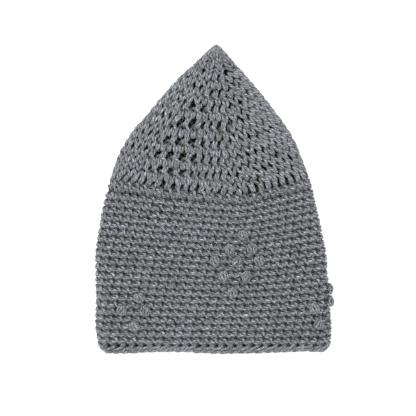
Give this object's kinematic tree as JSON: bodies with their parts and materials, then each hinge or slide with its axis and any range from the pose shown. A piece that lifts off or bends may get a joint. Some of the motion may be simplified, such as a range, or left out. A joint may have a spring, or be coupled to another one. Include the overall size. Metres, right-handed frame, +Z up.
{
  "type": "crocheted kufi cap",
  "caption": "Pointed crocheted cap lying flat: tall-stitch crown, close-stitch side, braided hem edging and raised bobble diamonds, hollow inside.",
  "frame": {"origin": "on the surface that the cap lies on, midway across and 80 mm up from the hem, in the middle of the face that the side rests on", "axes": "+X across the cap, +Y from the hem to the tip, +Z up, out of the front of the cap"},
  "size_m": [0.2439, 0.314, 0.0243],
  "materials": {
    "crown_yarn": "heather grey marled yarn, tall open stitches, matte",
    "side_yarn": "heather grey marled yarn, close single stitches, matte",
    "edging_yarn": "heather grey marled yarn, smooth chain, matte",
    "bobble_yarn": "heather grey marled yarn, gathered popcorn stitches, matte"
  },
  "bodies": {
    "root": {"crown": "crown_yarn", "side": "side_yarn", "edging": "edging_yarn", "front_bobble_1": "bobble_yarn", "front_bobble_2": "bobble_yarn", "front_bobble_3": "bobble_yarn", "front_bobble_4": "bobble_yarn", "front_bobble_5": "bobble_yarn", "front_bobble_6": "bobble_yarn", "front_bobble_7": "bobble_yarn", "front_bobble_8": "bobble_yarn", "front_bobble_9": "bobble_yarn", "left_bobble_1": "bobble_yarn", "left_bobble_2": "bobble_yarn", "left_bobble_3": "bobble_yarn", "left_bobble_4": "bobble_yarn", "right_bobble_1": "bobble_yarn", "right_bobble_2": "bobble_yarn", "right_bobble_3": "bobble_yarn", "right_bobble_4": "bobble_yarn"}
  },
  "joints": []
}
